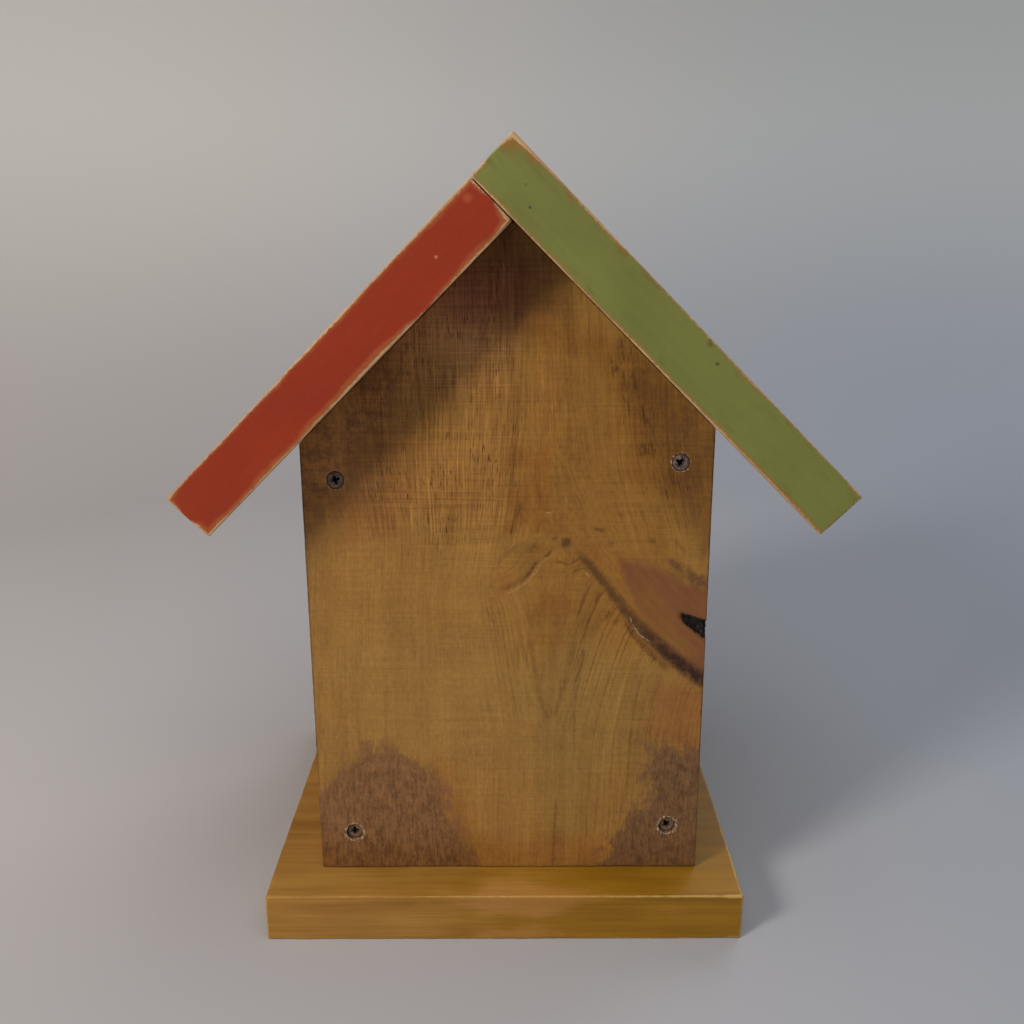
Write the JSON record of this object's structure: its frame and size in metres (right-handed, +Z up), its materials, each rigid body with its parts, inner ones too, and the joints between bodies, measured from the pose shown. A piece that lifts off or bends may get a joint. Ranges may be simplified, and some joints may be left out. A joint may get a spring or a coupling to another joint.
{
  "type": "birdhouse",
  "caption": "Gabled wooden birdhouse on a base board, with an overhanging board roof, an entrance hole, a perch and a screwed back panel that comes off for cleaning.",
  "frame": {"origin": "on the underside of the base board, under the ridge line and half-way between the front and back faces of the house", "axes": "+Z up; +Y out of the entrance, so the screwed back panel faces -Y; +X to the right when the back panel is faced, towards the green roof board"},
  "size_m": [0.2224, 0.2, 0.2789],
  "materials": {
    "stained_pine": "pine with an amber translucent stain, satin",
    "golden_stain": "board with a golden ochre translucent finish, sanded at the edges",
    "red_paint": "board painted brick red, matt, worn through at the edges",
    "green_paint": "board painted olive green, matt, worn through at the edges",
    "bare_dowel": "hardwood dowel with a thin coat of stain",
    "dark_steel": "steel wood screw, darkened, worn bright on the rim",
    "bright_steel": "bright steel"
  },
  "bodies": {
    "house": {"base_board": "golden_stain", "left_side_wall": "stained_pine", "right_side_wall": "stained_pine", "front_panel": "stained_pine", "red_roof_board": "red_paint", "green_roof_board": "green_paint", "perch_dowel": "bare_dowel", "base_screws": "bright_steel", "front_panel_nails": "bright_steel", "red_roof_nails": "bright_steel", "green_roof_nails": "bright_steel", "ridge_nails": "bright_steel"},
    "clean_out_cover": {"back_panel": "stained_pine"},
    "upper_left_screw": {"back_screw_upper_left": "dark_steel"},
    "upper_right_screw": {"back_screw_upper_right": "dark_steel"},
    "lower_left_screw": {"back_screw_lower_left": "dark_steel"},
    "lower_right_screw": {"back_screw_lower_right": "dark_steel"}
  },
  "joints": [
    {"name": "back_panel_slide", "type": "slide", "parent": "house", "child": "clean_out_cover", "axis": [0, -1, 0], "range_m": [0, 0.09]},
    {"name": "upper_left_screw_draw", "type": "slide", "parent": "clean_out_cover", "child": "upper_left_screw", "axis": [0, -1, 0], "range_m": [0, 0.045]},
    {"name": "upper_right_screw_draw", "type": "slide", "parent": "clean_out_cover", "child": "upper_right_screw", "axis": [0, -1, 0], "range_m": [0, 0.045]},
    {"name": "lower_left_screw_draw", "type": "slide", "parent": "clean_out_cover", "child": "lower_left_screw", "axis": [0, -1, 0], "range_m": [0, 0.045]},
    {"name": "lower_right_screw_draw", "type": "slide", "parent": "clean_out_cover", "child": "lower_right_screw", "axis": [0, -1, 0], "range_m": [0, 0.045]}
  ]
}
